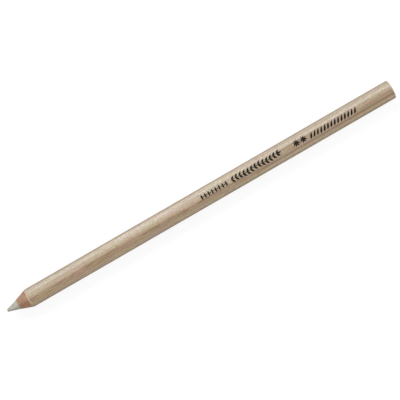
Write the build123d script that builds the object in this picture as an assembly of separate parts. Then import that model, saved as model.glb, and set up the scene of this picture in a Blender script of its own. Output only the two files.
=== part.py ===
from build123d import *
import os

# Wood-cased eraser pencil, factory sharpened, lying on its side. All sizes are in millimetres.
#
# The pencil is made in layers round one axis: a white rubber core, the glue that bonds it, two grooved wood
# slats that close round it, the glue film in the seam between the slats, and a lacquer coat over the wood.
# The finished blank is then sharpened at one end and trimmed flat at the other, so every layer ends on one
# shared outline: each comes out as its own ring on the sharpened cone and on the flat end.
#
# Frame: the pencil's axis is the X axis, with the point towards -X and the flat end towards +X. Z is up. The
# origin is on the axis, at the middle of the length.

# Blank
overall_length = 175.0
barrel_diameter = 7.8
core_diameter = 4.2
lacquer_thickness = 0.16
core_glue_thickness = 0.08
seam_glue_thickness = 0.08

# Sharpened point: the blade cuts one straight cone through the wood. The soft core gives way under the blade,
# so it comes out a little thinner than the wood's lip and runs at a slimmer angle to a blunt tip.
bare_core_length = 5.1
wood_cone_length = 5.1
core_step = 0.06
tip_diameter = 0.95
tip_round = 0.45

# Flat end
end_edge_round = 0.25

# How far a cutting shape runs past what it cuts
overrun = 1.0

barrel_radius = barrel_diameter / 2
core_radius = core_diameter / 2
groove_radius = core_radius + core_glue_thickness
wood_radius = barrel_radius - lacquer_thickness
tip_x = -overall_length / 2
end_x = overall_length / 2
lip_x = tip_x + bare_core_length
shoulder_x = lip_x + wood_cone_length


def pencil_outline():
    """Half section of the finished pencil in the XY plane, from the axis out to the surface."""
    corners = [
        (tip_x, 0),
        (tip_x, tip_diameter / 2),
        (lip_x, core_radius - core_step),
        (lip_x, core_radius),
        (shoulder_x, barrel_radius),
        (end_x, barrel_radius),
        (end_x, 0),
    ]
    section = make_face(Polyline(*corners, close=True))
    tip_corner = section.vertices().sort_by_distance((tip_x, tip_diameter / 2))[0]
    section = fillet(tip_corner, tip_round)
    end_corner = section.vertices().sort_by_distance((end_x, barrel_radius))[0]
    return fillet(end_corner, end_edge_round)


def layer(inner_radius, outer_radius):
    """Everything of the finished pencil that lies between two radii, as one turned solid."""
    band = Rectangle(
        overall_length + 2 * overrun, outer_radius - inner_radius, align=(Align.CENTER, Align.MIN)
    )
    return revolve(outline & Pos(0, inner_radius) * band, Axis.X)


def slats_and_seam(wood):
    """The turned wood parted along the seam: upper slat, lower slat and the two strips of glue between them."""
    seam_top = Plane.XY.offset(seam_glue_thickness / 2)
    seam_bottom = Plane.XY.offset(-seam_glue_thickness / 2)
    upper = split(wood, bisect_by=seam_top, keep=Keep.TOP)
    lower = split(wood, bisect_by=seam_bottom, keep=Keep.BOTTOM)
    film = split(split(wood, bisect_by=seam_top, keep=Keep.BOTTOM), bisect_by=seam_bottom, keep=Keep.TOP)
    front, rear = film.solids().sort_by(Axis.Y)
    return upper, lower, front, rear


outline = pencil_outline()
upper_slat, lower_slat, front_seam_glue, rear_seam_glue = slats_and_seam(layer(groove_radius, wood_radius))

pieces = {
    "eraser_core": layer(0, core_radius),
    "core_glue_sleeve": layer(core_radius, groove_radius),
    "upper_slat": upper_slat,
    "lower_slat": lower_slat,
    "front_seam_glue": front_seam_glue,
    "rear_seam_glue": rear_seam_glue,
    "lacquer_coat": layer(wood_radius, barrel_radius + overrun),
}

os.makedirs("parts", exist_ok=True)
for name, piece in pieces.items():
    export_step(piece, f"parts/{name}.step")
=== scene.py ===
"""Looks of a wood-cased eraser pencil, built round its packed construction.

The pencil's axis is the X axis, with the point towards -X. The scene is in metres, but a pencil is
worked in millimetres, so every size of a part below is in millimetres and a mesh is brought to
metres as it is made.
"""

import logging
import math
from collections.abc import Callable, Sequence
from dataclasses import dataclass
from enum import Enum

import bmesh
import bpy
from mathutils import Matrix, Vector, noise


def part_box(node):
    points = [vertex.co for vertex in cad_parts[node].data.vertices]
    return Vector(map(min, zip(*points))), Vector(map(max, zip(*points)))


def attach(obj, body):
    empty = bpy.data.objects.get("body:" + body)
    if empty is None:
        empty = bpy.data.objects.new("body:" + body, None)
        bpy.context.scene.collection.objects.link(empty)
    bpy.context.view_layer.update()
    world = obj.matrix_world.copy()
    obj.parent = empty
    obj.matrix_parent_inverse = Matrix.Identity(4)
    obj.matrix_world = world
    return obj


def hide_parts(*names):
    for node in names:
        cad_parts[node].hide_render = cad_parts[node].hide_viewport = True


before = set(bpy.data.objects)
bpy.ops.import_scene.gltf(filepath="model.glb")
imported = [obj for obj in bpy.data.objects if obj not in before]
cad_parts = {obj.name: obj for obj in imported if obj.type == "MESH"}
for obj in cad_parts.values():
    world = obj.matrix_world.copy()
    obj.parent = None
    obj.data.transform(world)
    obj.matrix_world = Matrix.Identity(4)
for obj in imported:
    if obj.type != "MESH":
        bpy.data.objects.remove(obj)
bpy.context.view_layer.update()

LOG = logging.getLogger("eraser_pencil")
MM = 0.001

Colour = tuple[float, float, float, float]
Span = tuple[float, float]
Ribbon = list[tuple[float, float, float]]


class Signal:
    """One output socket of a shader. Arithmetic on signals and numbers adds Math nodes."""

    def __init__(self, shader: "Shader", socket: bpy.types.NodeSocket) -> None:
        """Keeps the socket and the shader that it belongs to."""
        self.shader = shader
        self.socket = socket

    def math(self, operation: str, *operands: "Signal | float") -> "Signal":
        """Adds one Math node.

        Args:
            operation: Blender's name for the sum.
            operands: the node's inputs, in order.

        Returns:
            The node's result.
        """
        sockets = dict(enumerate(operands))
        return self.shader.node("ShaderNodeMath", {"operation": operation}, sockets)

    def __add__(self, other: "Signal | float") -> "Signal":
        """This plus other."""
        return self.math("ADD", self, other)

    def __radd__(self, other: float) -> "Signal":
        """A number plus this."""
        return self.math("ADD", other, self)

    def __sub__(self, other: "Signal | float") -> "Signal":
        """This less other."""
        return self.math("SUBTRACT", self, other)

    def __rsub__(self, other: float) -> "Signal":
        """A number less this."""
        return self.math("SUBTRACT", other, self)

    def __mul__(self, other: "Signal | float") -> "Signal":
        """This times other."""
        return self.math("MULTIPLY", self, other)

    def __rmul__(self, other: float) -> "Signal":
        """A number times this."""
        return self.math("MULTIPLY", other, self)

    def __truediv__(self, other: "Signal | float") -> "Signal":
        """This over other."""
        return self.math("DIVIDE", self, other)

    def __rtruediv__(self, other: float) -> "Signal":
        """A number over this."""
        return self.math("DIVIDE", other, self)

    def __pow__(self, power: float) -> "Signal":
        """This to a power."""
        return self.math("POWER", self, power)

    def __abs__(self) -> "Signal":
        """The size of this without its sign."""
        return self.math("ABSOLUTE", self)

    def whole(self) -> "Signal":
        """The whole number below this."""
        return self.math("FLOOR", self)

    def most(self, other: "Signal | float") -> "Signal":
        """The larger of this and other."""
        return self.math("MAXIMUM", self, other)

    def least(self, other: "Signal | float") -> "Signal":
        """The smaller of this and other."""
        return self.math("MINIMUM", self, other)

    def is_whole(self, number: float) -> "Signal":
        """1 where this is that whole number."""
        return self.math("COMPARE", self, number, 0.5)

    def rise(self, low: float, high: float) -> "Signal":
        """A smooth step.

        Args:
            low: where the step starts, at 0.
            high: where it ends, at 1. It may be the smaller of the two, which makes a fall.

        Returns:
            A signal from 0 to 1.
        """
        settings = {"interpolation_type": "SMOOTHSTEP"}
        if low < high:
            sockets = {"Value": self, "From Min": low, "From Max": high}
            return self.shader.node("ShaderNodeMapRange", settings, sockets)
        return 1 - self.rise(high, low)

    def output(self, name: str) -> "Signal":
        """Another output of the same node."""
        return Signal(self.shader, self.socket.node.outputs[name])


class Shader:
    """A material or world under construction: one method adds nodes, a few add common ones."""

    def __init__(self, owner: bpy.types.Material | bpy.types.World) -> None:
        """Starts with no nodes.

        Args:
            owner: the material or world.
        """
        self.owner = owner
        owner.use_nodes = True
        self.tree = owner.node_tree
        self.tree.nodes.clear()

    @classmethod
    def for_finish(cls, name: str) -> "Shader":
        """Starts a new material of that name."""
        return cls(bpy.data.materials.new(name))

    def node(
        self,
        kind: str,
        settings: dict[str, object] | None = None,
        sockets: dict[str | int, object] | None = None,
        output: str | None = None,
    ) -> Signal:
        """Adds one node.

        Args:
            kind: Blender's type name of the node.
            settings: the node's own properties, set before its sockets.
            sockets: a value or a signal for each input, by name or by place.
            output: the output that is wanted, or None for the first one in use.

        Returns:
            That output.
        """
        made = self.tree.nodes.new(kind)
        for name, value in (settings or {}).items():
            setattr(made, name, value)
        for key, value in (sockets or {}).items():
            socket = made.inputs[key] if isinstance(key, int) else self._input(made, key)
            if isinstance(value, Signal):
                self.tree.links.new(value.socket, socket)
            else:
                socket.default_value = value
        outputs = [s for s in made.outputs if s.enabled and output in (None, s.name)]
        return Signal(self, outputs[0]) if outputs else Signal(self, made.inputs[0])

    @staticmethod
    def _input(made: bpy.types.Node, name: str) -> bpy.types.NodeSocket:
        """The input of that name which the node's settings leave in use."""
        return next(s for s in made.inputs if s.enabled and s.name == name)

    def place(self) -> Signal:
        """The point on the pencil, in millimetres in the pencil's own frame."""
        own = self.node("ShaderNodeTexCoord", output="Object")
        return self.scaled(own, (1 / MM, 1 / MM, 1 / MM))

    def scaled(self, vector: Signal, factors: Sequence[float]) -> Signal:
        """A vector with each coordinate times its own factor."""
        sockets = {0: vector, 1: tuple(factors)}
        return self.node("ShaderNodeVectorMath", {"operation": "MULTIPLY"}, sockets)

    def cloud(
        self, vector: Signal, along: float, across: float, detail: float = 2, offset: float = 0
    ) -> Signal:
        """Soft noise.

        Args:
            vector: the place.
            along: how many patches to the millimetre along the pencil.
            across: how many to the millimetre across it.
            detail: how many finer octaves are added.
            offset: moves the pattern, so that two clouds differ.

        Returns:
            A signal from 0 to 1, mostly near 0.5.
        """
        spread = self.scaled(vector, (along, across, across))
        shift = {0: spread, 1: (offset, -offset, 2 * offset)}
        spot = self.node("ShaderNodeVectorMath", {"operation": "ADD"}, shift)
        sockets = {"Vector": spot, "Scale": 1.0, "Detail": detail}
        return self.node("ShaderNodeTexNoise", {}, sockets)

    def mix(self, factor: Signal | float, first: object, second: object) -> Signal:
        """A colour between two, at first where factor is 0."""
        sockets = {"Factor": factor, "A": first, "B": second}
        return self.node("ShaderNodeMix", {"data_type": "RGBA"}, sockets)

    def bump(self, height: Signal, depth: float) -> Signal:
        """A normal from a height of 0 to 1 that stands for depth in millimetres."""
        sockets = {"Strength": 1.0, "Distance": depth * MM, "Height": height}
        return self.node("ShaderNodeBump", {}, sockets)

    def finish(self, sockets: dict[str, object]) -> bpy.types.Material:
        """Ends the material in one Principled shader with these inputs.

        Args:
            sockets: a value or a signal for each input.

        Returns:
            The material.
        """
        surface = self.node("ShaderNodeBsdfPrincipled", {}, sockets)
        self.node("ShaderNodeOutputMaterial", {}, {"Surface": surface})
        return self.owner

    def seen(self) -> Signal:
        """1 for rays from the camera and for those that metal or glass sends on."""
        path = self.node("ShaderNodeLightPath", output="Is Camera Ray")
        return path.most(path.output("Is Glossy Ray")).most(path.output("Is Transmission Ray"))


@dataclass(frozen=True)
class WoodTones:
    """The colours of one kind of wood surface, from the palest wood to the darkest."""

    cream: Colour
    pale: Colour
    early: Colour
    honey: Colour
    warm: Colour
    late: Colour
    russet: Colour
    ash: Colour
    blush: Colour
    straw: Colour
    pore: Colour


@dataclass(frozen=True)
class Zone:
    """A stretch along the pencil: its middle, and how far from it the stretch ends and is full."""

    middle: float
    reach: float
    full: float

    def on(self, x: Signal) -> Signal:
        """1 in the stretch and 0 away from it."""
        return abs(x - self.middle).rise(self.reach, self.full)


@dataclass(frozen=True)
class Spot:
    """How a point lies in the upper board. Apart from x, y and height, each goes from 0 to 1.

    height is over the line below ring 0, across is the share of the way across its own ring, weak
    and pale are rings 0 and 1, band is the honey-coloured strip on the front, and right and end are
    towards the flat end.
    """

    x: Signal
    y: Signal
    height: Signal
    across: Signal
    upper: Signal
    weak: Signal
    pale: Signal
    band: Signal
    right: Signal
    end: Signal


@dataclass(frozen=True)
class LateWood:
    """How dark the late wood gets, by the share of the way across a ring, from 0 to 1.

    A strong ring darkens slowly and ends in a line. The pale ring has a quick line only, and
    towards the flat end a dark start too. The weak ring darkens from its lower side up.
    """

    slow: float = 1.1
    slow_power: float = 1.5
    line: float = 0.28
    line_at_end: float = 0.1
    line_power: float = 8.0
    middle: float = 0.17
    middle_zone: Zone = Zone(-18.0, 60.0, 14.0)
    right: float = 0.16
    band: float = 0.84
    pale_line: float = 0.2
    pale_line_at_end: float = 0.2
    pale_power: float = 4.0
    pale_right: float = 0.1
    pale_start: float = 0.26
    pale_start_span: Span = (0.32, 0.1)
    new_ring: Span = (1.0, 0.975)
    weak_foot: float = 0.42
    weak_foot_right: float = 0.25
    weak_foot_span: Span = (1.25, 0.05)
    weak_end: float = 0.06
    weak_right: float = 0.3
    weak_top_right: float = 0.24
    weak_top_span: Span = (2.6, 1.8)

    def in_rings(self, spot: Spot) -> Signal:
        """Late wood in the strong rings and the pale one, before each ring's own strength.

        Args:
            spot: the point in the upper board.

        Returns:
            How much late wood there is.
        """
        across, end, right = spot.across, spot.end, spot.right
        line = (self.line + self.line_at_end * end) * across ** self.line_power
        slow = self.slow * across ** self.slow_power + line
        slow = slow + self.middle * self.middle_zone.on(spot.x) + self.right * right
        slow = slow * (1 - self.band * spot.band)
        start = right * (self.pale_right + self.pale_start * across.rise(*self.pale_start_span))
        quick = (self.pale_line + self.pale_line_at_end * end) * across ** self.pale_power + start
        return slow + spot.pale * (quick - slow)

    def in_weak_ring(self, spot: Spot) -> Signal:
        """Late wood that the weak ring has over its own faint line.

        Args:
            spot: the point in the upper board.

        Returns:
            How much late wood there is.
        """
        height, right = spot.height, spot.right
        foot = (self.weak_foot - self.weak_foot_right * right) * height.rise(*self.weak_foot_span)
        top = right * (self.weak_right + self.weak_top_right * height.rise(*self.weak_top_span))
        return spot.weak * (foot + self.weak_end * spot.end + top)


@dataclass(frozen=True)
class CreamWood:
    """Where the palest wood lies: in the pale ring, over the weak one and in the front band."""

    strength: float = 0.75
    pale_zone: Zone = Zone(-5.0, 75.0, 10.0)
    start_loss: float = 0.8
    start_span: Span = (0.45, 0.15)
    pale_end: float = 0.4
    left: float = 0.35
    left_zone: Zone = Zone(-15.0, 30.0, 8.0)
    right: float = 0.3
    right_zone: Zone = Zone(38.0, 30.0, 8.0)
    right_span: Span = (0.3, 0.6)
    weak_span: Span = (1.0, 1.6)
    weak_zone: Zone = Zone(-30.0, 32.0, 8.0)
    point: float = 0.75
    point_zone: Zone = Zone(-66.0, 26.0, 10.0)
    bridge: float = 0.3
    bridge_zone: Zone = Zone(-31.0, 16.0, 4.0)
    band: float = 0.35
    band_zone: Zone = Zone(12.0, 60.0, 25.0)

    def on(self, spot: Spot) -> Signal:
        """How much of the palest tone there is.

        Args:
            spot: the point in the upper board.

        Returns:
            The strength of the tone.
        """
        x, across, pale, weak = spot.x, spot.across, spot.pale, spot.weak
        lost = self.start_loss * spot.right * across.rise(*self.start_span)
        cream = pale * self.pale_zone.on(x) * (1 - lost)
        cream = cream + self.pale_end * pale * spot.end
        cream = cream + self.left * pale * self.left_zone.on(x)
        cream = cream + self.right * pale * self.right_zone.on(x) * across.rise(*self.right_span)
        start = self.weak_zone.on(x) + self.point * self.point_zone.on(x)
        cream = cream + weak * spot.height.rise(*self.weak_span) * start
        cream = cream + self.bridge * (weak + pale) * self.bridge_zone.on(x)
        return self.strength * (cream + self.band * spot.band * self.band_zone.on(x))


@dataclass(frozen=True)
class Grain:
    """What the two boards of the casing look like inside: growth rings, fibres and pores.

    The upper board was sawn with its rings upright, and the lower board came from another blank
    with its rings leaning. Both are solid patterns, so a ring goes on from the barrel over the cone
    and across the flat end. Ring 0 of the upper board lies along the pencil's top. It is narrower
    where the line below it swells up. A dark band along each edge of the barrel, as seen from
    above, is painted shade, drawn as a last late ring.
    """

    late: LateWood = LateWood()
    cream: CreamWood = CreamWood()
    ring_spacing: float = 2.3
    right_spacing: float = 0.06
    wide_spacing: float = 4.1
    pith_distance: float = 60.0
    ring_place: float = -0.38
    swell: float = 0.55
    swell_zone: Zone = Zone(-44.0, 60.0, 0.0)
    drift: float = -0.68
    drift_span: Span = (2.0, 46.0)
    waver: float = 0.14
    fine_waver: float = 0.07
    least_strength: float = 0.85
    varied_strength: float = 0.25
    weak_loss: float = 0.8
    right_span: Span = (10.0, 42.0)
    end_span: Span = (60.0, 80.0)
    band_span: Span = (-85.0, -5.0)
    band_edge: Span = (-1.9, -2.6)
    edge: float = 2.2
    edge_start: Span = (-16.0, 4.0)
    edge_span: Span = (0.7, 0.95)
    joint: Span = (0.001, -0.001)
    top_span: Span = (0.2, -0.2)
    front_span: Span = (0.1, -0.1)
    # Painted shade along both edges of the barrel as seen from above: where it lies, how dark it
    # is, and how it wavers.
    rim_shade_ring: tuple[float, float, float] = (3.12, 3.7, 3.78)
    rim_shade_strength: float = 0.66
    rim_shade_base: float = 1.5
    rim_shade_front: float = 0.9
    rim_shade_waver: float = 0.3
    rim_shade_fine_waver: float = 0.15
    honey_span: Span = (1.7, 0.9)
    honey_right_span: Span = (2.3, 1.7)
    lower_spacing: float = 1.75
    lower_pith: Span = (34.0, 26.0)
    lower_pale: float = 0.6
    seam_half_width: float = 0.05

    def read(self, shader: Shader) -> dict[str, Signal]:
        """Lays the pattern out in a shader.

        Args:
            shader: the material under construction.

        Returns:
            Signals from 0 to 1. late is late wood together with the painted rim shade, warm, honey,
            pale and cream are the tones between rings, seam is the joint, and the rest is as
            _texture gives it. place is the point itself.
        """
        place = shader.place()
        x = shader.node("ShaderNodeSeparateXYZ", {}, {0: place}, "X")
        y, z = x.output("Y"), x.output("Z")
        lower = z.rise(*self.joint)
        waver = shader.cloud(place, 0.03, 0.25, detail=1) - 0.5
        fine_waver = shader.cloud(place, 0.16, 1.2, detail=2, offset=2) - 0.5
        right = x.rise(*self.right_span)
        swell = self.swell * self.swell_zone.on(x)
        bent = self._from_pith(y, z, self.pith_distance)
        height = bent - (self.ring_place + swell + self.drift * x.rise(*self.drift_span))
        width = self.ring_spacing - swell + self.right_spacing * right
        upper_depth = height.least(0.0) / self.wide_spacing + (height / width).most(0.0).least(1.0)
        upper_depth = upper_depth + (height - width).most(0.0) / self.ring_spacing
        pith_y, pith_z = self.lower_pith
        far = math.hypot(pith_y, pith_z)
        lower_depth = self._from_pith(y + pith_y, z - pith_z, far) / self.lower_spacing
        depth = upper_depth + lower * (lower_depth - upper_depth)
        depth = depth + self.waver * waver + self.fine_waver * fine_waver
        ring = depth.whole()
        upper = 1 - lower
        spot = Spot(
            x=x,
            y=y,
            height=height,
            across=depth - ring,
            upper=upper,
            weak=upper * ring.is_whole(0.0),
            pale=upper * ring.is_whole(1.0),
            band=upper * x.rise(*self.band_span) * y.rise(*self.band_edge),
            right=right,
            end=x.rise(*self.end_span),
        )
        settings = {"noise_dimensions": "1D"}
        chance = shader.node("ShaderNodeTexWhiteNoise", settings, {"W": ring}, "Value")
        strength = self.least_strength + self.varied_strength * chance
        strength = strength * (1 - self.weak_loss * spot.weak)
        late = strength * self.late.in_rings(spot) * spot.across.rise(*self.late.new_ring)
        # Painted shade: a dark band along both edges of the barrel as seen from above, drawn as a
        # late ring.
        side = self._painted_rim_shade(spot, self.rim_shade_waver * waver, self.rim_shade_fine_waver * fine_waver)
        honey = height.rise(*self.honey_span) + right * height.rise(*self.honey_right_span)
        texture = self._texture(shader, place)
        dark_line = texture.pop("dark_line") + self.edge * self._edge(spot)
        return {
            "place": place,
            # Late wood together with the painted rim shade.
            "late": (late + self.late.in_weak_ring(spot)).most(side),
            "warm": upper * height.rise(*self.top_span) + lower * texture.pop("dark_patch"),
            "honey": (spot.weak * honey + spot.band).least(1.0),
            "pale": spot.pale + self.lower_pale * lower * texture.pop("pale_patch"),
            "cream": self.cream.on(spot),
            "dark_line": dark_line,
            "seam": abs(z).rise(self.seam_half_width, 0.5 * self.seam_half_width),
            **texture,
        }

    def colour(self, shader: Shader, parts: dict[str, Signal], tones: WoodTones) -> Signal:
        """Paints the pattern.

        Args:
            shader: the material under construction.
            parts: the pattern, as read gives it.
            tones: the wood's colours.

        Returns:
            The wood's colour.
        """
        layers = (
            ("warm", 1, tones.warm),
            ("pale", 1, tones.pale),
            ("cream", 1, tones.cream),
            ("honey", 0.7, tones.honey),
            ("late", 1, tones.late),
            ("russet", 0.4, tones.russet),
            ("ash", 0.4, tones.ash),
            ("bright", 0.35, tones.pale),
            ("blush", 0.4, tones.blush),
            ("straw", 0.4, tones.straw),
            ("dark_line", 0.17, tones.late),
            ("pale_line", 0.18, tones.cream),
            ("fleck", 0.3, tones.russet),
            ("grit", 0.33, tones.late),
            ("fibre", 0.14, tones.late),
            ("pore", 0.4, tones.pore),
        )
        colour: Signal | Colour = tones.early
        for part, strength, tone in layers:
            factor = parts[part] if strength == 1 else strength * parts[part]
            colour = shader.mix(factor, colour, tone)
        return colour

    def _edge(self, spot: Spot) -> Signal:
        """A dark line at the outer edge of the strong rings, from the pencil's middle on."""
        strong = spot.upper * spot.x.rise(*self.edge_start) * (1 - spot.weak - spot.pale)
        return strong * spot.across.rise(*self.edge_span)

    def _painted_rim_shade(self, spot: Spot, waver: Signal, fine_waver: Signal) -> Signal:
        """Painted shade along both edges of the barrel as seen from above, drawn as a last late
        ring and darker on the -Y side towards the flat end.

        Args:
            spot: the point in the upper board.
            waver: the ring's long waves.
            fine_waver: its short ones.

        Returns:
            How much painted shade there is.
        """
        start, peak, stop = self.rim_shade_ring
        place = abs(spot.y) + waver + fine_waver
        front = spot.y.rise(*self.front_span)
        side = place.rise(start, peak) * place.rise(stop, peak)
        return self.rim_shade_strength * (side * (self.rim_shade_base + self.rim_shade_front * front * spot.end))

    @staticmethod
    def _texture(shader: Shader, place: Signal) -> dict[str, Signal]:
        """The marks that lie over the rings.

        Args:
            shader: the material under construction.
            place: the point on the pencil.

        Returns:
            Signals from 0 to 1. russet, ash, bright, dark_line and pale_line are long streaks,
            blush and straw are soft changes of hue, fleck, grit, fibre and pore are the fine
            texture, and the patches are the lower board's own.
        """
        clouds = {
            "patch": shader.cloud(place, 0.02, 0.35, detail=1, offset=21),
            "streak": shader.cloud(place, 0.035, 1.3, detail=3, offset=3),
            "thread": shader.cloud(place, 0.06, 3.0, detail=2, offset=17),
            "fleck": shader.cloud(place, 0.9, 2.6, detail=2, offset=29),
            "grit": shader.cloud(place, 1.5, 4.5, detail=2, offset=37),
            "fibre": shader.cloud(place, 0.22, 9.0, detail=2, offset=7),
            "dash": shader.cloud(place, 0.55, 6.0, detail=1, offset=11),
            "hue": shader.cloud(place, 0.12, 1.6, detail=2, offset=53),
            "line": shader.cloud(place, 0.008, 1.7, detail=1, offset=127),
        }
        steps = {
            "dark_patch": ("patch", 0.4, 0.6),
            "pale_patch": ("patch", 0.55, 0.4),
            "russet": ("streak", 0.5, 0.72),
            "ash": ("thread", 0.5, 0.68),
            "bright": ("thread", 0.46, 0.3),
            "dark_line": ("line", 0.53, 0.6),
            "pale_line": ("line", 0.47, 0.4),
            "fleck": ("fleck", 0.4, 0.62),
            "grit": ("grit", 0.38, 0.62),
            "fibre": ("fibre", 0.3, 0.7),
            "blush": ("hue", 0.5, 0.6),
            "straw": ("hue", 0.5, 0.4),
            "pore": ("dash", 0.6, 0.72),
        }
        return {part: clouds[name].rise(low, high) for part, (name, low, high) in steps.items()}

    @staticmethod
    def _from_pith(y: Signal, z: Signal, far: float) -> Signal:
        """How much farther a point is from the pith than the pencil's middle is."""
        reach = (y + far) ** 2.0 + z ** 2.0
        return reach ** 0.5 - far


@dataclass(frozen=True)
class LacqueredWood:
    """Pale wood seen through a satin clear lacquer."""

    tones: WoodTones = WoodTones(
        cream=(0.81, 0.745, 0.65, 1),
        pale=(0.67, 0.63, 0.52, 1),
        early=(0.585, 0.53, 0.465, 1),
        honey=(0.61, 0.515, 0.335, 1),
        warm=(0.605, 0.46, 0.27, 1),
        late=(0.185, 0.11, 0.067, 1),
        russet=(0.38, 0.24, 0.155, 1),
        ash=(0.38, 0.335, 0.28, 1),
        blush=(0.58, 0.405, 0.33, 1),
        straw=(0.49, 0.48, 0.23, 1),
        pore=(0.24, 0.165, 0.11, 1),
    )
    seam: Colour = (0.30, 0.21, 0.13, 1)
    seam_strength: float = 0.6
    fibre_height: float = 0.6
    peel_height: float = 0.4
    pore_height: float = 0.5
    depth: float = 0.012
    roughness: float = 0.44
    fibre_roughness: float = 0.12
    pore_roughness: float = 0.1
    specular: float = 0.1
    coat: float = 0.12
    coat_roughness: float = 0.35
    coat_index: float = 1.4

    def material(self, grain: Grain) -> bpy.types.Material:
        """The finish of the barrel's outside.

        Args:
            grain: the pattern inside the boards.

        Returns:
            The material.
        """
        shader = Shader.for_finish("lacquered_wood")
        parts = grain.read(shader)
        colour = grain.colour(shader, parts, self.tones)
        colour = shader.mix(self.seam_strength * parts["seam"], colour, self.seam)
        peel = shader.cloud(parts["place"], 1.1, 2.2, detail=2, offset=5)
        height = self.fibre_height * parts["fibre"] + self.peel_height * peel
        height = height - self.pore_height * parts["pore"]
        roughness = self.roughness + self.fibre_roughness * parts["fibre"]
        roughness = roughness + self.pore_roughness * parts["pore"]
        return shader.finish(
            {
                "Base Color": colour,
                "Roughness": roughness,
                "Specular IOR Level": self.specular,
                "Coat Weight": self.coat,
                "Coat Roughness": self.coat_roughness,
                "Coat IOR": self.coat_index,
                "Normal": shader.bump(height, self.depth),
            }
        )


@dataclass(frozen=True)
class BareWood:
    """Freshly cut cedar with nothing on it, as on the cone and the flat end."""

    tones: WoodTones = WoodTones(
        cream=(0.56, 0.40, 0.30, 1),
        pale=(0.49, 0.335, 0.25, 1),
        early=(0.51, 0.34, 0.245, 1),
        honey=(0.50, 0.335, 0.23, 1),
        warm=(0.52, 0.30, 0.18, 1),
        late=(0.18, 0.10, 0.062, 1),
        russet=(0.33, 0.168, 0.098, 1),
        ash=(0.29, 0.19, 0.135, 1),
        blush=(0.50, 0.27, 0.21, 1),
        straw=(0.43, 0.33, 0.17, 1),
        pore=(0.15, 0.08, 0.05, 1),
    )
    dark_mottle: float = 0.8
    dark_mottle_span: Span = (0.48, 0.62)
    pale_mottle: float = 0.5
    pale_mottle_span: Span = (0.46, 0.34)
    fibre_height: float = 0.6
    scratch_height: float = 0.25
    pore_height: float = 0.6
    late_height: float = 0.3
    depth: float = 0.03
    roughness: float = 0.7
    fibre_roughness: float = 0.2
    specular: float = 0.1

    def material(self, grain: Grain) -> bpy.types.Material:
        """The finish of the slats.

        Args:
            grain: the pattern inside the boards.

        Returns:
            The material.
        """
        shader = Shader.for_finish("bare_wood")
        parts = grain.read(shader)
        scratch = shader.cloud(parts["place"], 9.0, 0.5, detail=2, offset=13)
        mottle = shader.cloud(parts["place"], 1.3, 1.9, detail=2, offset=41)
        colour = grain.colour(shader, parts, self.tones)
        dark = self.dark_mottle * mottle.rise(*self.dark_mottle_span)
        colour = shader.mix(dark, colour, self.tones.russet)
        pale = self.pale_mottle * mottle.rise(*self.pale_mottle_span) * (1 - parts["late"])
        colour = shader.mix(pale, colour, self.tones.cream)
        height = self.fibre_height * parts["fibre"] + self.scratch_height * scratch
        height = height - self.pore_height * parts["pore"] + self.late_height * parts["late"]
        return shader.finish(
            {
                "Base Color": colour,
                "Roughness": self.roughness + self.fibre_roughness * parts["fibre"],
                "Specular IOR Level": self.specular,
                "Normal": shader.bump(height, self.depth),
            }
        )


@dataclass(frozen=True)
class CutLacquer:
    """The cut edge of the lacquer, where its thickness shows as a thin amber line."""

    clear: Colour = (0.52, 0.42, 0.30, 1)
    worn: Colour = (0.40, 0.29, 0.19, 1)
    depth: float = 0.01
    roughness: float = 0.4
    worn_roughness: float = 0.2
    specular: float = 0.3

    def material(self) -> bpy.types.Material:
        """The finish of the coat's cut rings.

        Returns:
            The material.
        """
        shader = Shader.for_finish("cut_lacquer")
        blotch = shader.cloud(shader.place(), 2.0, 3.0, detail=3).rise(0.35, 0.65)
        return shader.finish(
            {
                "Base Color": shader.mix(blotch, self.clear, self.worn),
                "Roughness": self.roughness + self.worn_roughness * blotch,
                "Specular IOR Level": self.specular,
                "Normal": shader.bump(blotch, self.depth),
            }
        )


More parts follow.
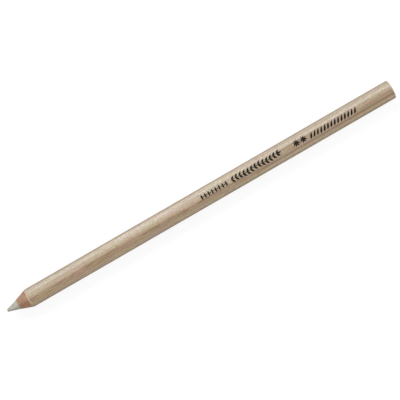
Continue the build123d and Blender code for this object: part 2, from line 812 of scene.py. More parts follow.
@dataclass(frozen=True)
class EraserRubber:
    """White rubber with a fine abrasive filler, a little smudged towards its tip, with painted
    shade darkening its -Y side.
    """

    clean: Colour = (0.45, 0.445, 0.37, 1)
    filler: Colour = (0.29, 0.28, 0.225, 1)
    speck: Colour = (0.60, 0.605, 0.54, 1)
    # The smudge colour, also the colour of the painted shade on the -Y side.
    smudge_and_shade: Colour = (0.20, 0.185, 0.165, 1)
    turned: float = 0.3
    cloudy: float = 0.25
    dark_grit: float = 0.6
    pale_grit: float = 0.5
    smear: float = 0.3
    tip_smear: float = 0.4
    tip_span: Span = (-84.0, -86.6)
    # Painted shade on the -Y side: how strong it is, and across the pencil where it starts and
    # where it is full.
    painted_shade: float = 0.32
    painted_shade_span: Span = (0.2, -0.8)
    grit_height: float = 0.6
    turned_height: float = 0.4
    depth: float = 0.04
    roughness: float = 0.74
    grit_roughness: float = 0.15
    specular: float = 0.2

    def material(self) -> bpy.types.Material:
        """The finish of the core.

        Returns:
            The material.
        """
        shader = Shader.for_finish("eraser_rubber")
        place = shader.place()
        turned = shader.cloud(place, 6.0, 0.6, detail=3).rise(0.3, 0.7)
        cloudy = shader.cloud(place, 1.2, 1.4, detail=2, offset=8).rise(0.4, 0.65)
        grit = shader.cloud(place, 9.0, 9.0, detail=2, offset=4)
        dark = grit.rise(0.55, 0.7)
        pale = grit.rise(0.42, 0.3)
        colour = shader.mix(self.turned * turned, self.clean, self.filler)
        colour = shader.mix(self.cloudy * cloudy, colour, self.speck)
        colour = shader.mix(self.dark_grit * dark, colour, self.filler)
        colour = shader.mix(self.pale_grit * pale, colour, self.speck)
        along = shader.node("ShaderNodeSeparateXYZ", {}, {0: place}, "X")
        smear = shader.cloud(place, 0.7, 1.1, detail=4, offset=6).rise(0.44, 0.66)
        smudged = smear * (self.smear + self.tip_smear * along.rise(*self.tip_span))
        colour = shader.mix(smudged, colour, self.smudge_and_shade)
        # Painted shade: the rubber darkens towards its -Y side, away from the key lamp, in the
        # smudge colour.
        painted_shade = self.painted_shade * along.output("Y").rise(*self.painted_shade_span)
        colour = shader.mix(painted_shade, colour, self.smudge_and_shade)
        height = self.grit_height * grit + self.turned_height * turned
        return shader.finish(
            {
                "Base Color": colour,
                "Roughness": self.roughness + self.grit_roughness * dark,
                "Specular IOR Level": self.specular,
                "Normal": shader.bump(height, self.depth),
            }
        )


@dataclass(frozen=True)
class DriedGlue:
    """Wood glue that has set to a hard amber film."""

    thin: Colour = (0.47, 0.36, 0.22, 1)
    thick: Colour = (0.30, 0.20, 0.11, 1)
    depth: float = 0.01
    roughness: float = 0.35
    thick_roughness: float = 0.25

    def material(self) -> bpy.types.Material:
        """The finish of the glue films.

        Returns:
            The material.
        """
        shader = Shader.for_finish("dried_glue")
        pool = shader.cloud(shader.place(), 0.8, 2.5, detail=3).rise(0.3, 0.7)
        return shader.finish(
            {
                "Base Color": shader.mix(pool, self.thin, self.thick),
                "Roughness": self.roughness + self.thick_roughness * pool,
                "Normal": shader.bump(pool, self.depth),
            }
        )


@dataclass(frozen=True)
class StampingFoil:
    """Black pigment foil, pressed hot on to the lacquer, with a few pinholes."""

    ink: Colour = (0.004, 0.005, 0.004, 1)
    rubbed: Colour = (0.018, 0.019, 0.015, 1)
    pinhole: Colour = (0.34, 0.26, 0.17, 1)
    depth: float = 0.006
    roughness: float = 0.5
    rubbed_roughness: float = 0.2
    specular: float = 0.12

    def material(self) -> bpy.types.Material:
        """The finish of the stamped ornament.

        Returns:
            The material.
        """
        shader = Shader.for_finish("stamping_foil")
        place = shader.place()
        rub = shader.cloud(place, 1.5, 4.0, detail=3).rise(0.4, 0.7)
        hole = shader.cloud(place, 12.0, 14.0, detail=1, offset=9).rise(0.74, 0.78)
        colour = shader.mix(rub, self.ink, self.rubbed)
        return shader.finish(
            {
                "Base Color": shader.mix(hole, colour, self.pinhole),
                "Roughness": self.roughness + self.rubbed_roughness * rub,
                "Specular IOR Level": self.specular,
                "Normal": shader.bump(rub, self.depth),
            }
        )


class Face(Enum):
    """The surfaces that the outline of a turned part runs along."""

    CONE = "cone"
    TIP = "tip"
    BARREL = "barrel"
    FLAT_END = "flat_end"
    CORE_END = "core_end"
    CORE_SIDE = "core_side"
    INSIDE = "inside"


class Sector(Enum):
    """How far round the axis a part goes."""

    WHOLE = "whole"
    UPPER = "upper"
    LOWER = "lower"
    FRONT = "front"
    REAR = "rear"

    def span(self, radius: float, half_gap: float) -> tuple[float, float]:
        """The angles, from +Y towards +Z, between which the part lies at one radius.

        Args:
            radius: distance from the axis.
            half_gap: half the thickness of the flat seam that parts the slats.

        Returns:
            The first angle and the last.
        """
        gap = math.asin(min(1, half_gap / radius)) if radius else 0
        return {
            Sector.WHOLE: (0, math.tau),
            Sector.UPPER: (gap, math.pi - gap),
            Sector.LOWER: (math.pi + gap, math.tau - gap),
            Sector.FRONT: (math.pi - gap, math.pi + gap),
            Sector.REAR: (-gap, gap),
        }[self]


@dataclass(frozen=True)
class Station:
    """One point of a turned part's outline, and the surface that starts there."""

    x: float
    radius: float
    face: Face


@dataclass(frozen=True)
class Blank:
    """Sizes of the pencil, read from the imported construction, in millimetres.

    The last three cut up a layer's outline: the first steps behind the cone, the bands after them,
    and how close two radii have to be to count as one.
    """

    tip_x: float
    lip_x: float
    shoulder_x: float
    end_x: float
    core_radius: float
    groove_radius: float
    wood_radius: float
    barrel_radius: float
    seam_half: float
    core_step: float = 0.06
    tip_radius: float = 0.475
    tip_round: float = 0.45
    end_round: float = 0.25
    near_steps: tuple[float, ...] = (0, 0.3, 0.6, 0.9, 1.2, 1.6)
    bands: int = 56
    close: float = 1e-6

    @classmethod
    def from_frame(cls) -> "Blank":
        """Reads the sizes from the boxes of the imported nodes.

        Returns:
            The sizes of the pencil.
        """
        boxes = {name: [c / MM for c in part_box(name)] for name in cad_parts}
        core_low, core_high = boxes["eraser_core"]
        coat_low, coat_high = boxes["lacquer_coat"]
        slat_high = boxes["upper_slat"][1]
        seam_low, seam_high = boxes["rear_seam_glue"]
        sleeve_low, sleeve_high = boxes["core_glue_sleeve"]
        wood_radius = math.hypot(slat_high.y, seam_high.z)
        slope = (wood_radius - core_high.y) / (coat_low.x - sleeve_low.x)
        return cls(
            tip_x=core_low.x,
            lip_x=sleeve_low.x,
            shoulder_x=sleeve_low.x + (coat_high.y - core_high.y) / slope,
            end_x=core_high.x,
            core_radius=core_high.y,
            groove_radius=sleeve_high.y,
            wood_radius=wood_radius,
            barrel_radius=coat_high.y,
            seam_half=seam_high.z,
        )

    @property
    def cone_slope(self) -> float:
        """How much the cut cone widens for each millimetre along the axis."""
        return (self.barrel_radius - self.core_radius) / (self.shoulder_x - self.lip_x)

    def cone_x(self, radius: float) -> float:
        """Where the cut cone has this radius."""
        return self.lip_x + (radius - self.core_radius) / self.cone_slope

    def end_x_at(self, radius: float) -> float:
        """Where the flat end and its rounded rim are at one radius.

        Args:
            radius: distance from the axis.

        Returns:
            The place along the axis.
        """
        past = radius - (self.barrel_radius - self.end_round)
        if past <= 0:
            return self.end_x
        return self.end_x - self.end_round + math.sqrt(max(0, self.end_round**2 - past**2))

    def layer(self, inner: float, outer: float, steps: int) -> list[Station]:
        """The outline of a ring-shaped layer, from its inner edge on the cone and back to it.

        Args:
            inner: the layer's inner radius.
            outer: its outer radius.
            steps: how many strips the cone is cut into.

        Returns:
            The stations of a closed outline.
        """
        outside = Face.INSIDE if outer < self.barrel_radius - self.close else Face.BARREL
        cone = [inner + (outer - inner) * i / steps for i in range(steps)]
        end_steps = max(4, steps // 4)
        end = [outer + (inner - outer) * i / end_steps for i in range(end_steps)]
        start_x, stop_x = self.cone_x(outer), self.end_x_at(outer)
        near = [start_x + step for step in self.near_steps]
        far = [near[-1] + (stop_x - near[-1]) * i / self.bands for i in range(1, self.bands)]
        stations = [Station(self.cone_x(r), r, Face.CONE) for r in cone]
        stations += [Station(x, outer, outside) for x in near + far]
        stations += [Station(self.end_x_at(r), r, Face.FLAT_END) for r in end]
        stations += [Station(self.end_x, inner, Face.INSIDE)]
        return stations


@dataclass(frozen=True)
class Relief:
    """The small marks that cutting leaves in a surface: how deep or long they are, in millimetres.

    A rate says how fast a mark changes along the pencil, per millimetre, and round it or over its
    section.
    """

    blank: Blank
    sanding: float = 0.03
    sanding_rates: Span = (5.5, 0.8)
    fibres: float = 0.045
    fibre_rates: Span = (0.35, 9)
    wander: float = 0.34
    wander_reach: float = 1.2
    wander_rate: float = 1.3
    quick_wander: float = 0.3
    quick_rate: float = 5
    chip: float = 0.22
    chip_reach: float = 0.3
    chip_rate: float = 7
    chip_level: float = 0.1
    turning: float = 0.016
    turning_rates: Span = (4.2, 0.9)
    lumps: float = 0.05
    lump_rates: Span = (0.9, 1.3)
    point_share: float = 0.2
    saw: float = 0.015
    saw_rates: Span = (4, 0.7)

    def __call__(self, station: Station, angle: float) -> Span:
        """How far the surface moves at one point.

        Args:
            station: the point of the outline.
            angle: the angle round the axis.

        Returns:
            The moves along the axis and away from it.
        """
        around = Vector((math.cos(angle), math.sin(angle), 0))
        if station.face is Face.TIP:
            return 0, self._tip(station.x, station.radius, around)
        if station.face in (Face.FLAT_END, Face.CORE_END):
            y, z = station.radius * around.x, station.radius * around.y
            over, along = self.saw_rates
            return self.saw * (noise.noise(Vector((over * y + z, along * z, 3.0))) - 0.5), 0
        if station.face is Face.CORE_SIDE:
            return 0, 0
        behind = station.x - self.blank.cone_x(station.radius)
        fade = max(0, 1 - behind / self.wander_reach)
        return fade * self._cut(station.x, station.radius, around), 0

    def _cut(self, x: float, radius: float, around: Vector) -> float:
        """How far the cone lies towards the flat end at one point. Layers that meet move alike.

        Args:
            x: the point's place along the pencil.
            radius: its distance from the axis.
            around: its direction from the axis.

        Returns:
            The move along the axis.
        """
        blank = self.blank
        share = (radius - blank.core_radius) / (blank.barrel_radius - blank.core_radius)
        shift = self.sanding * self._along(x, around, self.sanding_rates)
        shift += self.fibres * self._along(x, around, self.fibre_rates)
        slow = self._round(around, self.wander_rate, 5.0)
        quick = self._round(around, self.quick_rate, 8.0)
        shift += share * self.wander * (slow + self.quick_wander * quick)
        near_lip = max(0.0, 1 - (x - blank.lip_x) / self.chip_reach)
        chips = max(0.0, self._round(around, self.chip_rate, 1.5) - self.chip_level)
        return shift + near_lip * self.chip * chips

    def _tip(self, x: float, radius: float, around: Vector) -> float:
        """How far the bare core stands out at one point.

        Args:
            x: the point's place along the pencil.
            radius: its distance from the axis.
            around: its direction from the axis.

        Returns:
            The move away from the axis.
        """
        fade = min(1.0, radius / self.blank.core_radius + self.point_share)
        turned = self._along(x, around, self.turning_rates)
        lump = self._along(x, around, self.lump_rates, 4)
        return fade * (self.turning * turned + self.lumps * lump)

    @staticmethod
    def _along(x: float, around: Vector, rates: Span, shift: float = 0) -> float:
        """Noise from -1 to 1 that changes along the pencil and round it."""
        along, about = rates
        return noise.noise(Vector((along * x, about * around.x + shift, about * around.y)))

    @staticmethod
    def _round(around: Vector, rate: float, layer: float) -> float:
        """Noise from -1 to 1 that changes only round the pencil."""
        return noise.noise(Vector((rate * around.x, rate * around.y, layer)))


@dataclass(frozen=True)
class Lathe:
    """Turns outlines into meshes round the pencil's axis, with so many steps round it."""

    blank: Blank
    relief: Relief
    steps: int = 192
    film_steps: int = 4
    smooth_angle: float = 35

    def turn(
        self,
        name: str,
        outline: Sequence[Station],
        sector: Sector,
        materials: Sequence[bpy.types.Material],
        pick: Callable[[Face], int] = lambda face: 0,
    ) -> bpy.types.Object:
        """Makes one turned part.

        Args:
            name: the piece's name.
            outline: its stations in order. It closes, unless it starts and ends on the axis.
            sector: how far round the part goes.
            materials: its materials.
            pick: which of them a surface takes.

        Returns:
            The new object.
        """
        shape = bmesh.new()
        half = self.steps // 2
        counts = {Sector.WHOLE: self.steps, Sector.UPPER: half, Sector.LOWER: half}
        columns = counts.get(sector, self.film_steps)
        rows = [self._row(shape, station, sector, columns) for station in outline]
        pairs = list(zip(range(len(rows)), range(1, len(rows))))
        if outline[0].radius > 0:
            pairs.append((len(rows) - 1, 0))
        for here, after in pairs:
            for column in range(columns):
                self._patch(shape, rows[here], rows[after], column, pick(outline[here].face))
        if sector is not Sector.WHOLE:
            for column, order in ((0, 1), (columns, -1)):
                shape.faces.new([row[column] for row in rows][::order])
        bmesh.ops.recalc_face_normals(shape, faces=shape.faces)
        return finished(name, shape, materials, self.smooth_angle)

    def _row(
        self, shape: bmesh.types.BMesh, station: Station, sector: Sector, columns: int
    ) -> list[bmesh.types.BMVert]:
        """The ring of vertices of one station, or one vertex on the axis.

        Args:
            shape: the part so far.
            station: the point of the outline.
            sector: how far round the part goes.
            columns: how many steps that is cut into.

        Returns:
            The vertices in order.
        """
        if station.radius == 0:
            return [shape.verts.new((station.x * MM, 0, 0))]
        first, last = sector.span(station.radius, self.blank.seam_half)
        row = []
        for column in range(columns if sector is Sector.WHOLE else columns + 1):
            angle = first + (last - first) * column / columns
            along, out = self.relief(station, angle)
            radius = station.radius + out
            point = Vector((station.x + along, radius * math.cos(angle), radius * math.sin(angle)))
            row.append(shape.verts.new(point * MM))
        return row

    @staticmethod
    def _patch(
        shape: bmesh.types.BMesh,
        row: list[bmesh.types.BMVert],
        after: list[bmesh.types.BMVert],
        column: int,
        material: int,
    ) -> None:
        """One face between two rows, which is a triangle where one row is a single vertex.

        Args:
            shape: the part so far.
            row: the vertices of one station.
            after: those of the next.
            column: the step round the part.
            material: the index of the face's material.
        """
        ends = ((row, column), (row, column + 1), (after, column + 1), (after, column))
        corners = [verts[index % len(verts)] for verts, index in ends]
        made = shape.faces.new(list(dict.fromkeys(corners)))
        made.material_index = material


def finished(
    name: str,
    shape: bmesh.types.BMesh,
    materials: Sequence[bpy.types.Material],
    smooth_angle: float,
) -> bpy.types.Object:
    """Makes an object of a finished shape.

    Args:
        name: the piece's name.
        shape: the shape, which is used up.
        materials: the piece's materials, in the order of its faces' indices.
        smooth_angle: edges that turn by more degrees than this stay sharp.

    Returns:
        The new object, in the scene.
    """
    mesh = bpy.data.meshes.new(name)
    shape.to_mesh(mesh)
    shape.free()
    for material in materials:
        mesh.materials.append(material)
    mesh.shade_smooth()
    mesh.set_sharp_from_angle(angle=math.radians(smooth_angle))
    made = bpy.data.objects.new(name, mesh)
    bpy.context.scene.collection.objects.link(made)
    return made


def dress(piece: bpy.types.Object, slot: str, *nodes: str) -> None:
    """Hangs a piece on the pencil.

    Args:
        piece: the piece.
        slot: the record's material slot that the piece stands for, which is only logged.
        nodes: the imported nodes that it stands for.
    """
    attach(piece, "root")
    if nodes:
        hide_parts(*nodes)
    faces, stands_for = len(piece.data.polygons), ", ".join(nodes) or "itself"
    LOG.info("%s: %d faces, slot %s, for %s", piece.name, faces, slot, stands_for)


@dataclass(frozen=True)
class EraserCore:
    """The rubber core: blunt tip, sharpened cone and cut end face. Lengths are in millimetres."""

    lathe: Lathe
    tip_rows: int = 90
    arc_rows: int = 8
    end_rows: int = 10
    least_row: float = 0.02
    step_start: float = 0.4
    step_end: float = 0.6
    bevel: float = 0.05

    def outline(self) -> list[Station]:
        """Stations from the tip's middle, over the cone and down the groove, to the end's middle.

        Returns:
            The stations of an open outline.
        """
        blank = self.lathe.blank
        lip_radius = blank.core_radius - blank.core_step
        rise = math.atan2(lip_radius - blank.tip_radius, blank.lip_x - blank.tip_x)
        turn = math.pi / 2 - rise
        setback = blank.tip_round * math.tan(turn / 2)
        centre_x, centre_r = blank.tip_x + blank.tip_round, blank.tip_radius - setback
        stations = [Station(blank.tip_x, 0, Face.TIP)]
        if centre_r > self.bevel:
            stations.append(Station(blank.tip_x, centre_r / 2, Face.TIP))
        for i in range(self.arc_rows + 1):
            bend = math.pi / 2 - turn * i / self.arc_rows
            across, back = math.cos(bend), math.sin(bend)
            radius = max(self.least_row * (i + 1), centre_r + blank.tip_round * across)
            stations.append(Station(centre_x - blank.tip_round * back, radius, Face.TIP))
        start = stations[-1]
        for i in range(1, self.tip_rows + 1):
            share = i / self.tip_rows
            x = start.x + (blank.lip_x - start.x) * share
            radius = start.radius + (lip_radius - start.radius) * share
            stations.append(Station(x, radius, Face.TIP))
        stations.append(Station(blank.lip_x + self.step_start, lip_radius, Face.CORE_SIDE))
        stations.append(Station(blank.lip_x + self.step_end, blank.core_radius, Face.CORE_SIDE))
        stations.append(Station(blank.end_x - self.bevel, blank.core_radius, Face.CORE_END))
        end_radius = blank.core_radius - self.bevel
        for i in range(self.end_rows):
            radius = end_radius * (1 - i / self.end_rows)
            stations.append(Station(blank.end_x, radius, Face.CORE_END))
        stations.append(Station(blank.end_x, 0, Face.CORE_END))
        return stations

    def build(self, rubber: bpy.types.Material) -> None:
        """Turns the core and hangs it on the pencil."""
        core = self.lathe.turn("rubber_core", self.outline(), Sector.WHOLE, [rubber])
        dress(core, "eraser_rubber", "eraser_core")


@dataclass(frozen=True)
class WoodCasing:
    """The two slats with the glue round the core and in the seam."""

    lathe: Lathe
    cone_rows: int = 80

    def build(self, wood: bpy.types.Material, glue: bpy.types.Material) -> None:
        """Turns both slats and the three glue films and hangs them on the pencil.

        Args:
            wood: the slats' finish.
            glue: the films' finish.
        """
        blank = self.lathe.blank
        casing = blank.layer(blank.groove_radius, blank.wood_radius, self.cone_rows)
        for sector in (Sector.UPPER, Sector.LOWER):
            slat = self.lathe.turn(f"{sector.value}_cedar_slat", casing, sector, [wood])
            dress(slat, "bare_wood", f"{sector.value}_slat")
        for sector in (Sector.FRONT, Sector.REAR):
            film = self.lathe.turn(f"{sector.value}_seam_film", casing, sector, [glue])
            dress(film, "dried_glue", f"{sector.value}_seam_glue")
        ring = blank.layer(blank.core_radius, blank.groove_radius, 4)
        sleeve = self.lathe.turn("core_bond", ring, Sector.WHOLE, [glue])
        dress(sleeve, "dried_glue", "core_glue_sleeve")


@dataclass(frozen=True)
class LacquerCoat:
    """The clear lacquer over the barrel, cut back at the cone and at the flat end."""

    lathe: Lathe

    def build(self, lacquer: bpy.types.Material, cut: bpy.types.Material) -> None:
        """Turns the coat and hangs it on the pencil.

        Args:
            lacquer: the finish of the barrel's outside.
            cut: the finish of the cut rings.
        """
        blank = self.lathe.blank
        outline = blank.layer(blank.wood_radius, blank.barrel_radius, 12)
        coat = self.lathe.turn(
            "lacquered_barrel",
            outline,
            Sector.WHOLE,
            [lacquer, cut],
            lambda face: int(face is not Face.BARREL),
        )
        dress(coat, "lacquered_wood", "lacquer_coat")


class Stroke(Enum):
    """How the breadth of a mark runs along it."""

    LEAF = "leaf"
    BEAD = "bead"
    PEN = "pen"

    def breadth(self, share: float) -> float:
        """How broad the mark is at one place.

        Args:
            share: the share of the mark's length, from 0 to 1.

        Returns:
            The share of its greatest breadth.
        """
        return {
            Stroke.LEAF: max(0.05, math.sin(math.pi * share**0.75)),
            Stroke.BEAD: math.sqrt(max(0.02, 1 - (2 * share - 1) ** 2)),
            Stroke.PEN: 0.6 + 0.4 * math.sin(math.pi * share),
        }[self]


@dataclass(frozen=True)
class Mark:
    """One stroke of the stamp on the unrolled barrel: its middle line, kind and breadth."""

    path: tuple[tuple[float, float], ...]
    stroke: Stroke
    breadth: float

    @classmethod
    def straight(
        cls,
        stroke: Stroke,
        x: float,
        up: float,
        length: float,
        breadth: float,
        lean: float = 90,
        foot: bool = False,
    ) -> "Mark":
        """A straight mark.

        Args:
            stroke: its kind.
            x: place of its middle along the barrel.
            up: place of its middle round the barrel.
            length: its length.
            breadth: its greatest breadth.
            lean: its direction in degrees from the barrel's own.
            foot: x and up are its foot and not its middle.

        Returns:
            The mark.
        """
        along, rise = math.cos(math.radians(lean)), math.sin(math.radians(lean))
        start = 0.0 if foot else -0.5
        steps = 10
        path = tuple(
            (x + length * (start + i / steps) * along, up + length * (start + i / steps) * rise)
            for i in range(steps + 1)
        )
        return cls(path, stroke, breadth)

    def ribbon(self) -> Ribbon:
        """Points along the mark: place along the barrel, place round it, and breadth.

        Returns:
            The points in order.
        """
        last = len(self.path) - 1
        breadths = [self.breadth * self.stroke.breadth(i / last) for i in range(last + 1)]
        return [(x, up, breadth) for (x, up), breadth in zip(self.path, breadths)]


@dataclass(frozen=True)
class Stretch:
    """Where a stretch of the ornament starts and stops along the barrel, and its middle line."""

    start: float
    stop: float
    middle: float

    def share(self, part: float) -> float:
        """The place at a part of the stretch, from 0 to 1."""
        return self.start + (self.stop - self.start) * part


@dataclass(frozen=True)
class StampedOrnament:
    """A plain running ornament in black foil along the barrel's top, in four stretches.

    From the point end they are a row of beads and reels, a leafy branch, a pair of rosettes and a
    rope border. A pair of sizes is a mark's length and its greatest breadth, and a lean is in
    degrees from the barrel's direction.
    """

    blank: Blank
    proud: float = 0.012
    sunk: float = 0.01
    lap: float = 0.0012
    laps: int = 4
    across: int = 4
    beads: Stretch = Stretch(1.4, 12.4, 0.36)
    bead_count: int = 8
    bead: Span = (2.05, 0.8)
    small_bead: Span = (0.6, 0.5)
    branch: Stretch = Stretch(14.5, 37.3, 0.32)
    stem_breadth: float = 0.3
    stem_stop: float = 0.95
    sway: float = 0.2
    waves: float = 2.5
    leaf_pairs: int = 13
    leafy: Span = (0.02, 0.89)
    leaf: Span = (1.8, 0.88)
    leaf_lean: float = 47
    leaf_gap: float = 0.08
    end_leaf: Span = (1.7, 0.7)
    end_leaf_place: float = 0.93
    rosettes: Stretch = Stretch(44.1, 47.2, 0.42)
    petals: Span = (3.3, 0.7)
    petal_leans: tuple[float, ...] = (22.5, 67.5, 112.5, 157.5)
    eye: Span = (1.2, 1.2)
    rope: Stretch = Stretch(50.7, 70.5, 0.08)
    strands: int = 14
    strand: Span = (3.1, 0.82)
    strand_lean: float = 61

    def build(self, foil: bpy.types.Material) -> None:
        """Makes the foil and hangs it on the pencil.

        Args:
            foil: its finish.
        """
        shape = bmesh.new()
        marks = self._beads() + self._branch() + self._rosettes() + self._rope()
        for order, mark in enumerate(marks):
            self._press(shape, mark.ribbon(), self.proud + self.lap * (order % self.laps))
        bmesh.ops.recalc_face_normals(shape, faces=shape.faces)
        dress(finished("stamped_foil", shape, [foil], smooth_angle=40), "stamping_foil")

    def _beads(self) -> list[Mark]:
        """A row of long beads with a small round one between each two.

        Returns:
            The marks.
        """
        made: list[Mark] = []
        row, gaps = self.beads, self.bead_count - 1
        pitch = (row.stop - row.start) / gaps
        for i in range(self.bead_count):
            x = row.share(i / gaps)
            made.append(Mark.straight(Stroke.BEAD, x, row.middle, *self.bead))
            if i < gaps:
                made.append(Mark.straight(Stroke.BEAD, x + pitch / 2, row.middle, *self.small_bead))
        return made

    def _stem_height(self, part: float) -> float:
        """How high the branch's stem runs at a part of its length."""
        return self.branch.middle + self.sway * math.sin(math.tau * self.waves * part)

    def _branch(self) -> list[Mark]:
        """A gently waving stem with leaves in pairs, and one leaf at its end.

        Returns:
            The marks.
        """
        row, steps = self.branch, 80
        parts = [self.stem_stop * i / steps for i in range(steps + 1)]
        stem = tuple((row.share(part), self._stem_height(part)) for part in parts)
        made = [Mark(stem, Stroke.PEN, self.stem_breadth)]
        first, reach = self.leafy
        for i in range(self.leaf_pairs):
            part = first + reach * i / (self.leaf_pairs - 1)
            for side in (1, -1):
                x, up = row.share(part), self._stem_height(part) + self.leaf_gap * side
                lean = self.leaf_lean * side
                made.append(Mark.straight(Stroke.LEAF, x, up, *self.leaf, lean, True))
        x, up = row.share(self.end_leaf_place), self._stem_height(self.end_leaf_place)
        made.append(Mark.straight(Stroke.LEAF, x, up, *self.end_leaf, 0, True))
        return made

    def _rosettes(self) -> list[Mark]:
        """Two flowers of eight petals.

        Returns:
            The marks.
        """
        made: list[Mark] = []
        row = self.rosettes
        for x in (row.start, row.stop):
            for lean in self.petal_leans:
                made.append(Mark.straight(Stroke.LEAF, x, row.middle, *self.petals, lean))
            made.append(Mark.straight(Stroke.BEAD, x, row.middle, *self.eye))
        return made

    def _rope(self) -> list[Mark]:
        """Slanted leaves side by side, like the strands of a rope.

        Returns:
            The marks.
        """
        places = [self.rope.share(i / (self.strands - 1)) for i in range(self.strands)]
        middle, size, lean = self.rope.middle, self.strand, self.strand_lean
        return [Mark.straight(Stroke.LEAF, x, middle, *size, lean) for x in places]

    def _press(self, shape: bmesh.types.BMesh, ribbon: Ribbon, proud: float) -> None:
        """Lays one stroke on the barrel, with a thin edge that goes down into the lacquer.

        Args:
            shape: the foil so far.
            ribbon: the stroke's points and breadths.
            proud: how high it stands. Strokes that cross differ a little.
        """
        count = len(ribbon)
        top: list[list[bmesh.types.BMVert]] = []
        foot: list[list[bmesh.types.BMVert]] = []
        for i, (x, up, breadth) in enumerate(ribbon):
            before, after = ribbon[max(0, i - 1)], ribbon[min(count - 1, i + 1)]
            heading = Vector((after[0] - before[0], after[1] - before[1])).normalized()
            side = Vector((-heading.y, heading.x)) * breadth / 2
            shares = [2 * j / self.across - 1 for j in range(self.across + 1)]
            spots = [(x + side.x * s, up + side.y * s) for s in shares]
            top.append([self._wrapped(shape, spot, proud) for spot in spots])
            foot.append([self._wrapped(shape, spot, -self.sunk) for spot in spots])
        for rows in (top, foot):
            for row, after_row in zip(rows, rows[1:]):
                for j in range(self.across):
                    shape.faces.new((row[j], row[j + 1], after_row[j + 1], after_row[j]))
        rims = [
            [row[0] for row in rows]
            + rows[-1][1:]
            + [row[-1] for row in rows[-2::-1]]
            + rows[0][-2:0:-1]
            for rows in (top, foot)
        ]
        upper, under = ([*rim, rim[0]] for rim in rims)
        for j in range(len(rims[0])):
            shape.faces.new((upper[j], upper[j + 1], under[j + 1], under[j]))

    def _wrapped(self, shape: bmesh.types.BMesh, spot: Span, height: float) -> bmesh.types.BMVert:
        """Puts a vertex over a spot of the unrolled barrel.

        Args:
            shape: the foil so far.
            spot: the place along the barrel and round it.
            height: how high over the lacquer.

        Returns:
            The new vertex.
        """
        radius = self.blank.barrel_radius
        angle = math.pi / 2 - spot[1] / radius
        reach = radius + height
        point = Vector((spot[0], reach * math.cos(angle), reach * math.sin(angle)))
        return shape.verts.new(point * MM)


@dataclass(frozen=True)
class Lamp:
    """A soft box that faces the pencil. Its angles are in radians, its power in watts."""

    name: str
    bearing: float
    height: float
    power: float
    size: tuple[float, float]
    distance: float = 0.45

    def build(self) -> None:
        """Hangs the lamp, with its longer side along the pencil."""
        data = bpy.data.lights.new(self.name, "AREA")
        data.shape = "RECTANGLE"
        data.size, data.size_y = self.size
        data.energy = self.power
        lamp = bpy.data.objects.new(self.name, data)
        level = math.cos(self.height)
        x, y = level * math.cos(self.bearing), level * math.sin(self.bearing)
        place = Vector((x, y, math.sin(self.height)))
        across = Vector((-math.sin(self.bearing), math.cos(self.bearing), 0))
        axes = Matrix((across, place.cross(across), place)).transposed().to_4x4()
        lamp.matrix_world = Matrix.Translation(place * self.distance) @ axes
        bpy.context.scene.collection.objects.link(lamp)


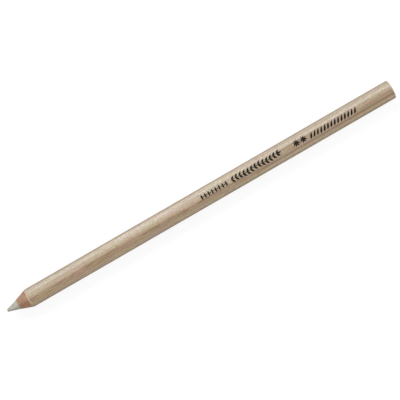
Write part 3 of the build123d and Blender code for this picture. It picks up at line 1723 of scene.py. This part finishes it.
@dataclass(frozen=True)
class Studio:
    """A white table in soft light, seen from straight above as in the photograph. In metres."""

    floor_height: float
    turn: float = math.radians(30.007)
    aim: Span = (0.00026, -0.00015)
    distance: float = 0.473
    lens: float = 107.75
    sensor_width: float = 36.0
    clip: Span = (0.01, 20.0)
    floor_size: float = 6.0
    floor_glow: float = 0.86
    speckle: float = 0.97
    floor_pale: Colour = (0.16, 0.16, 0.16, 1)
    floor_bounce: Colour = (0.16, 0.16, 0.157, 1)
    low_sky: Colour = (0.06, 0.06, 0.06, 1)
    high_sky: Colour = (0.20, 0.20, 0.20, 1)
    lamps: tuple[Lamp, ...] = (
        Lamp("key", math.radians(90), math.radians(42), 2.05, (0.4, 0.2)),
        Lamp("fill", math.radians(-90), math.radians(38), 1.0, (0.4, 0.2)),
        Lamp("head", math.radians(180), math.radians(18), 0.6, (0.2, 0.2)),
        Lamp("tail", math.radians(0), math.radians(18), 0.85, (0.2, 0.2)),
    )

    def build(self) -> None:
        """Sets up camera, floor, world and lamps."""
        self._camera()
        self._floor()
        self._world()
        for lamp in self.lamps:
            lamp.build()
        bpy.context.scene.view_settings.view_transform = "Standard"

    def _camera(self) -> None:
        """Hangs the camera over the pencil, rolled so that the pencil climbs to the right."""
        data = bpy.data.cameras.new("camera")
        data.lens = self.lens
        data.sensor_width = self.sensor_width
        data.clip_start, data.clip_end = self.clip
        camera = bpy.data.objects.new("camera", data)
        right = Vector((math.cos(self.turn), -math.sin(self.turn), 0))
        up = Vector((math.sin(self.turn), math.cos(self.turn), 0))
        axes = Matrix((right, up, right.cross(up))).transposed().to_4x4()
        camera.matrix_world = Matrix.Translation((*self.aim, self.distance)) @ axes
        bpy.context.scene.collection.objects.link(camera)
        bpy.context.scene.camera = camera

    def _floor(self) -> None:
        """Lays a plain white floor that keeps a faint shadow."""
        shader = Shader.for_finish("white_table")
        speckle = shader.cloud(shader.place(), 0.4, 0.4, detail=3)
        worn = tuple(self.speckle * c for c in self.floor_pale[:3]) + (1,)
        pale = shader.mix(speckle, self.floor_pale, worn)
        shadow = shader.node("ShaderNodeBsdfDiffuse", {}, {"Color": pale})
        light = {"Color": (1, 1, 1, 1), "Strength": self.floor_glow}
        glow = shader.node("ShaderNodeEmission", {}, light)
        shown = shader.node("ShaderNodeAddShader", {}, {0: shadow, 1: glow})
        bounce = shader.node("ShaderNodeBsdfDiffuse", {}, {"Color": self.floor_bounce})
        surface = shader.node("ShaderNodeMixShader", {}, {0: shader.seen(), 1: bounce, 2: shown})
        shader.node("ShaderNodeOutputMaterial", {}, {"Surface": surface})
        shape = bmesh.new()
        half = self.floor_size / 2
        corners = ((-half, -half), (half, -half), (half, half), (-half, half))
        shape.faces.new([shape.verts.new((x, y, self.floor_height)) for x, y in corners])
        finished("floor", shape, [shader.owner], smooth_angle=30)

    def _world(self) -> None:
        """Soft light that is strongest overhead, on a white background."""
        world = bpy.data.worlds.new("soft_room")
        shader = Shader(world)
        heading = shader.node("ShaderNodeTexCoord", output="Generated")
        up = shader.node("ShaderNodeSeparateXYZ", {}, {0: heading}, "Z").most(0.0)
        sky = shader.mix(up, self.low_sky, self.high_sky)
        room = shader.node("ShaderNodeBackground", {}, {"Color": sky, "Strength": 1.0})
        white = shader.node("ShaderNodeBackground", {}, {"Color": (1, 1, 1, 1), "Strength": 1.0})
        surface = shader.node("ShaderNodeMixShader", {}, {0: shader.seen(), 1: room, 2: white})
        shader.node("ShaderNodeOutputWorld", {}, {"Surface": surface})
        bpy.context.scene.world = world


def main() -> None:
    """Builds the studio and then the pencil from its core outwards."""
    logging.basicConfig(level=logging.INFO, format="%(message)s")
    blank = Blank.from_frame()
    LOG.info("sizes in millimetres: %s", blank)
    lathe = Lathe(blank, Relief(blank))
    grain = Grain()
    Studio(floor_height=-blank.barrel_radius * MM).build()
    EraserCore(lathe).build(EraserRubber().material())
    WoodCasing(lathe).build(BareWood().material(grain), DriedGlue().material())
    LacquerCoat(lathe).build(LacqueredWood().material(grain), CutLacquer().material())
    StampedOrnament(blank).build(StampingFoil().material())


if __name__ == "__main__":
    main()
